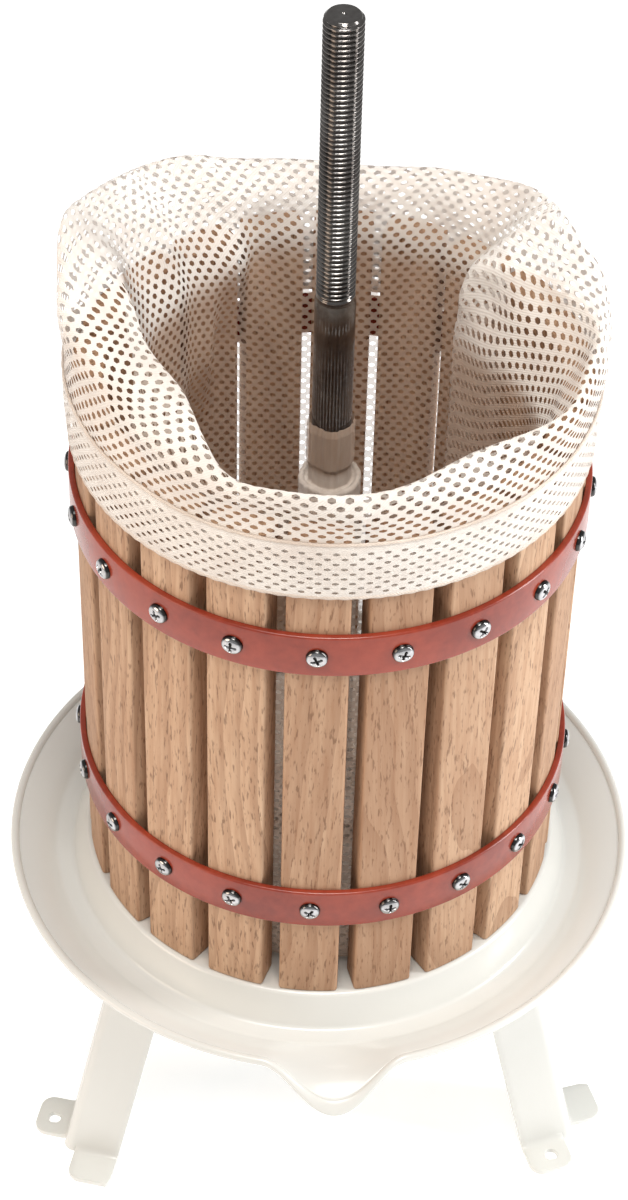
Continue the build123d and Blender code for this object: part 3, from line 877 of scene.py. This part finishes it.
def bag_meridians(azimuth, samples=460):
    """Rounded run of the cloth up the wall, over the fold and down to the hem, for each azimuth.

    A straight path through the bag's corners is softened by a bell-shaped average along
    it, then divided evenly by length; the free part gets waves in radius and level.
    """
    crest_radius, crest = fold_value(azimuth, 1), fold_value(azimuth, 2)
    shoulder_radius, shoulder = fold_value(azimuth, 3), fold_value(azimuth, 4)
    span = STAVE_TOP - TRAY_TOP
    share = np.linspace(0, 1, samples)
    tail = 14
    bell = np.exp(-0.5 * (np.arange(-tail, tail + 1) / 4.6) ** 2)
    bell /= bell.sum()
    back = smooth_step((-0.1 - np.cos(azimuth)) / 0.6)
    hem, cuff = BAG_HEM - 23.0 * MM * back, BAG_CUFF + 2.8 * MM * back
    runs = np.zeros((len(azimuth), samples, 2))
    for k, angle in enumerate(azimuth):
        levels = np.array([0.004, 0.012, 0.05, 0.10, 0.15, 0.20, 0.25, span - 0.004])
        radii = wall_radius(angle, levels)
        radii[0] -= 3.5 * MM
        radii[-1] = min(radii[-1], BAG_WALL)
        path = np.concatenate([np.stack([radii, levels], axis=1), [
            [crest_radius[k], crest[k]], [shoulder_radius[k], shoulder[k]],
            [cuff[k] + 1.2 * MM, span + 0.004], [cuff[k], hem[k] - TRAY_TOP]]])
        even = along_path(share * run_length(path)[-1], path)
        padded = np.pad(even, ((tail, tail), (0, 0)), mode="edge")
        soft = np.stack([np.convolve(padded[:, axis], bell, mode="valid") for axis in (0, 1)], axis=1)
        runs[k] = along_path(share * run_length(soft)[-1], soft)
    free = smooth_step((runs[..., 1] - span - 0.002) / 0.022)
    radius = runs[..., 0] + 1.5 * MM * free * ripple(31, azimuth[:, None], 3.0 * share[None], (3, 15))
    level = runs[..., 1] + 1.6 * MM * free * ripple(32, azimuth[:, None], 2.0 * share[None], (3, 13))
    return radius, level + TRAY_TOP


def bag_place():
    """How many stitch columns the bag has, and a function giving the point of any stitch."""
    count, column_azimuth = bag_columns()
    per_stitch = 4
    steps = per_stitch * count
    azimuth = column_azimuth(np.arange(steps) / per_stitch)
    radius, level = bag_meridians(azimuth)
    samples = radius.shape[1]

    def place(column, row):
        column, row = np.broadcast_arrays(np.asarray(column, float) % count, row)
        across = column * per_stitch
        along = np.clip((row + NET_END) / (BAG_ROWS + 2 * NET_END), 0, 1) * (samples - 1)
        i, j = np.floor(across).astype(int), np.minimum(np.floor(along).astype(int), samples - 2)
        u, v = across - i, along - j
        i0, i1 = i % steps, (i + 1) % steps
        found = []
        for field in (radius, level):
            low = field[i0, j] * (1 - v) + field[i0, j + 1] * v
            high = field[i1, j] * (1 - v) + field[i1, j + 1] * v
            found.append(low * (1 - u) + high * u)
        return polar(found[0], column_azimuth(column), found[1])

    return count, place


def net(columns, rows, hole=(0.27, 0.385)):
    """Closed ring of net in stitch units: hexagonal cells in staggered rows round hexagonal holes.

    Gives the flat place (column, row) of every point, and the faces.  A cell's upper and
    lower points are shared with the cells beside them in the next rows, and a straight
    line closes the ring at both ends.
    """
    drop = (1 - (STITCH_WIDE / 2 / STITCH_TALL) ** 2) / 2
    reach = 1 - drop
    column = np.arange(columns)
    upper_rows, lower_rows = np.arange(-1, rows), np.arange(0, rows + 1)

    def centres(row):
        middle = np.broadcast_to(row[:, None] + 0.5, (len(row), columns))
        return column[None] + 0.5 * (row[:, None] % 2), middle

    upper = np.stack(centres(upper_rows), axis=-1) + [0, reach]
    lower = np.stack(centres(lower_rows), axis=-1) - [0, reach]
    cells = np.stack(centres(np.arange(rows)), axis=-1)
    around = np.radians([30, 90, 150, 210, 270, 330])
    ring = np.stack([hole[0] * np.cos(around), hole[1] * np.sin(around)], axis=-1)
    inner = cells[:, :, None, :] + ring
    places = [upper.reshape(-1, 2), lower.reshape(-1, 2), inner.reshape(-1, 2)]
    lower_start = upper.size // 2
    inner_start = lower_start + lower.size // 2
    row, i = np.meshgrid(np.arange(rows), column, indexing="ij")
    odd = row % 2
    right, left = (i + odd) % columns, (i - 1 + odd) % columns

    def upper_number(r, c):
        return (r + 1) * columns + c

    def lower_number(r, c):
        return lower_start + r * columns + c

    outer = np.stack([lower_number(row + 1, right), upper_number(row, i), lower_number(row + 1, left),
                      upper_number(row - 1, left), lower_number(row, i), upper_number(row - 1, right)],
                     axis=-1)
    hole_points = inner_start + (row * columns + i)[..., None] * 6 + np.arange(6)
    faces = [np.stack([outer, np.roll(outer, -1, axis=-1), np.roll(hole_points, -1, axis=-1), hole_points],
                      axis=-1).reshape(-1, 4)]
    start = inner_start + inner.size // 2
    odd_end = (rows - 1) % 2
    ends = [(lower_number(0, column), upper_number(-1, column), 0.0, -NET_END, 1),
            (upper_number(rows - 1, column), lower_number(rows, (column + odd_end) % columns),
             0.5 * odd_end, rows + NET_END, -1)]
    for first, second, shift, level, order in ends:
        edge = np.stack([first, second], axis=1).ravel()
        number = start + np.arange(2 * columns)
        start += 2 * columns
        places.append(np.stack([shift + np.arange(2 * columns) / 2, np.full(2 * columns, level)], axis=1))
        quads = np.stack([edge, number, np.roll(number, -1), np.roll(edge, -1)], axis=1)
        faces.append(quads[:, ::order])
    return np.concatenate(places), faces


def make_bag_net(count, place):
    """The knitted net itself: wall, fold and cuff in one ring, bent by the place function."""
    flat, faces = net(count, BAG_ROWS)
    points = place(flat[:, 0], flat[:, 1])
    piece = build("bag_net", (points, faces), "bag", NET, nodes=["press_bag"])
    inside = np.hypot(points[:, 0], points[:, 1]) < BAG_WALL + 3.0 * MM
    # Cloth inside the staves and below their top: more see-through, and given the painted warm shade.
    store(piece, "tight", inside * smooth_step((STAVE_TOP - points[:, 2]) / 0.02))
    store_flat(piece, flat, count)
    return piece


def make_hem_band(count, place):
    """Second layer of net over the lowest part of the cuff, over a third of a stitch out of step."""
    flat, faces = net(count, HEM_ROWS, (0.22, 0.30))
    share = (flat[:, 1] + NET_END) / (HEM_ROWS + 2 * NET_END)
    under = place(flat[:, 0] + 0.37, BAG_ROWS + NET_END - (HEM_ROWS + 0.6) * (1 - share))
    out = under[:, :2] / np.linalg.norm(under[:, :2], axis=1)[:, None]
    swell = 0.7 * MM + 0.9 * MM * np.sin(math.pi * np.clip(share, 0, 1)) ** 0.6
    points = under + np.concatenate([out * swell[:, None], np.zeros((len(under), 1))], axis=1)
    piece = build("bag_hem_band", (points, faces), "bag", NET)
    store_flat(piece, flat, count)
    return piece


def make_bag_cord(name, count, place, row, thick, lift):
    """Thin roll of turned cloth along one stitch row: a small circle carried along it."""
    per_stitch, spokes = 6, 8
    steps = per_stitch * count
    column = np.arange(steps) / per_stitch
    path = place(column, row)
    out = path[:, :2] / np.linalg.norm(path[:, :2], axis=1)[:, None]
    spoke = spread_angles(spokes)
    size = thick * (1 + 0.16 * np.cos(2 * math.pi * column))[:, None]
    sideways = lift + size * np.cos(spoke)
    upwards = 1.5 * size * np.sin(spoke)
    points = np.concatenate([path[:, None, :2] + out[:, None, :] * sideways[..., None],
                             (path[:, None, 2] + upwards)[..., None]], axis=-1)
    piece = build(name, (points, [grid_quads(steps, spokes, True, True)]), "bag", CLOTH)
    flat = np.stack(np.broadcast_arrays(column[:, None], 0.3 * spoke[None]), axis=-1).reshape(-1, 2)
    store_flat(piece, flat, count)
    return piece


def make_bag_middle():
    """Floor of the bag, the gathered cover over the nut, and the sleeve up the screw.

    One closed-round grid: a rounded path of radius and level, with pleats in the cover and
    the sleeve and slow waves in the floor.
    """
    corners = np.array([[100.2, 2.6], [97.5, 1.2], [40, 1.2], [27.5, 1.6], [26.8, 18], [17.5, 27], [15.2, 60],
                        [14.6, 190], [14.9, 238], [13.6, 241.6], [11.6, 237], [10.1, 238.5], [10.0, 247.5],
                        [11.3, 250.5], [11.3, 270.5], [10.6, 274.5]]) * MM
    radii = np.array([0, 1, 3, 3, 6, 12, 20, 30, 1.6, 1.3, 1.0, 0.8, 1.0, 1.2, 1.2, 0]) * MM
    path = rounded_path(corners, radii, 5)
    along = run_length(path)
    even = np.unique(np.concatenate([along, np.arange(0, along[-1], 2.5 * MM)]))
    radius, level = (np.interp(even, along, path[:, axis])[:, None] for axis in (0, 1))
    steps, screw_clear, stitches_per_radian = 240, 9.9 * MM, 16.0
    azimuth = spread_angles(steps)[None]
    cover = smooth_step((0.040 - radius) / 0.012) * smooth_step((0.075 - level) / 0.05)
    tube = smooth_step((0.018 - radius) / 0.002) * (0.35 + 0.65 * smooth_step((0.236 - level) / 0.03))
    floor = smooth_step((radius - 0.034) / 0.02) * smooth_step((0.095 - radius) / 0.01)
    pleats = ripple(41, azimuth, level * 0.2, (11, 27))
    soft = ripple(42, azimuth, level * 0.5, (3, 8))
    radius = radius + MM * (1.5 * cover * pleats + tube * (0.8 * soft + 0.5 * pleats))
    level = level + MM * (0.9 * floor * (1 + ripple(43, azimuth, radius * 2, (5, 14))) + 0.5 * cover * soft)
    points = polar(np.maximum(radius, screw_clear), azimuth, level + TRAY_TOP)
    piece = build("bag_floor_and_sleeve", (points, [grid_quads(len(even), steps, close_columns=True)]),
                  "bag", CLOTH)
    # The upper sleeve is marked the same way: more see-through, and given the painted warm shade.
    thin = smooth_step((points[..., 2] - TRAY_TOP - 0.244) / 0.004)
    store(piece, "tight", thin.ravel())
    column, row = azimuth * stitches_per_radian, (even / STITCH_TALL)[:, None]
    flat = np.stack(np.broadcast_arrays(column, row), axis=-1)
    store_flat(piece, flat.reshape(-1, 2), 2 * math.pi * stitches_per_radian)
    mean_radius = np.interp((even[1:] + even[:-1]) / 2, along, path[:, 0])
    area = 2 * math.pi * np.sum(mean_radius * np.diff(even))
    return piece, area


def make_bag():
    """Knitted press bag: the net, its doubled hem, and the plain floor with its sleeve."""
    count, place = bag_place()
    bag = make_bag_net(count, place)
    band = make_hem_band(count, place)
    edge = make_bag_cord("bag_hem_edge", count, place, BAG_ROWS + 0.7, 0.75 * MM, 0.5 * MM)
    seam = make_bag_cord("bag_hem_seam", count, place, BAG_ROWS - HEM_ROWS, 0.6 * MM, 0.7 * MM)
    middle, middle_area = make_bag_middle()


# ======================================================================
# Camera, floor and light
# ======================================================================
def make_camera():
    """Camera above and in front of the spout, looking steeply down at the basket."""
    eye = Vector((-0.0762, -1.1007, 1.4000))
    yaw, pitch, roll = math.radians(3.649), math.radians(43.974), math.radians(1.549)
    forward = Vector((math.sin(yaw) * math.cos(pitch), math.cos(yaw) * math.cos(pitch), -math.sin(pitch)))
    level_right = Vector((math.cos(yaw), -math.sin(yaw), 0.0))
    level_up = level_right.cross(forward)
    right = math.cos(roll) * level_right + math.sin(roll) * level_up
    up = math.cos(roll) * level_up - math.sin(roll) * level_right
    data = bpy.data.cameras.new("camera")
    data.lens, data.sensor_width = 93.354, 36.0
    camera = place_object("camera", data)
    rotation = Matrix((right, up, -forward)).transposed()
    camera.matrix_world = Matrix.Translation(eye) @ rotation.to_4x4()
    bpy.context.scene.camera = camera


def make_floor():
    """Plain pale floor that runs well past the view."""
    half = 3.0
    points = [[-half, -half, 0], [half, -half, 0], [half, half, 0], [-half, half, 0]]
    material, tool, shader = new_material("floor", Roughness=0.7)
    patches = use(tool, MOTTLE, {"Scale": 3.0, "Base": colour(0.95, 0.95, 0.95),
                                 "Other": colour(0.93, 0.93, 0.93), "Amount": 1.0})
    tool.fill(shader.inputs, {"Base Color": patches["Color"], "Emission Color": (1.0, 1.0, 1.0, 1.0),
                              "Emission Strength": 0.45})
    mesh = bpy.data.meshes.new("floor")
    mesh.from_pydata(points, [], [(0, 1, 2, 3)])
    mesh.materials.append(material)
    place_object("floor", mesh)


def soft_light(name, place, aim, size, power, tint=(1.0, 1.0, 1.0)):
    """Rectangular studio light at a place, turned to an aim."""
    data = bpy.data.lights.new(name, "AREA")
    data.shape, data.size, data.size_y = "RECTANGLE", size[0], size[1]
    data.energy, data.color = power, tint
    light = place_object(name, data)
    light.location = place
    light.rotation_euler = (Vector(aim) - Vector(place)).to_track_quat("-Z", "Y").to_euler()


def make_light():
    """White surroundings, a tall key on the right, a broad top light, and warm left and inner fills."""
    world = bpy.data.worlds.new("studio")
    world.use_nodes = True
    background = world.node_tree.nodes["Background"]
    background.inputs[0].default_value = (1.0, 1.0, 1.0, 1.0)
    background.inputs[1].default_value = 0.38
    bpy.context.scene.world = world
    centre = (0.0, 0.0, 0.35)
    soft_light("key_right", (1.5, -0.3, 0.9), centre, (0.35, 1.4), 22.0)
    soft_light("top", (-0.1, -0.6, 2.3), centre, (1.0, 1.0), 17.0)
    soft_light("into_basket", (0.0, -0.45, 1.35), (0.0, 0.03, 0.40), (0.25, 0.25), 3.5, (1.0, 0.95, 0.88))
    soft_light("fill_left", (-1.5, -0.7, 0.8), centre, (0.9, 0.9), 10.0, (1.0, 0.78, 0.60))


make_staves()
make_hoops()
make_hoop_screws()
make_tray()
make_legs()
make_fittings()
make_press_screw()
make_bag()
make_camera()
make_floor()
make_light()
bpy.context.scene.view_settings.view_transform = "Standard"
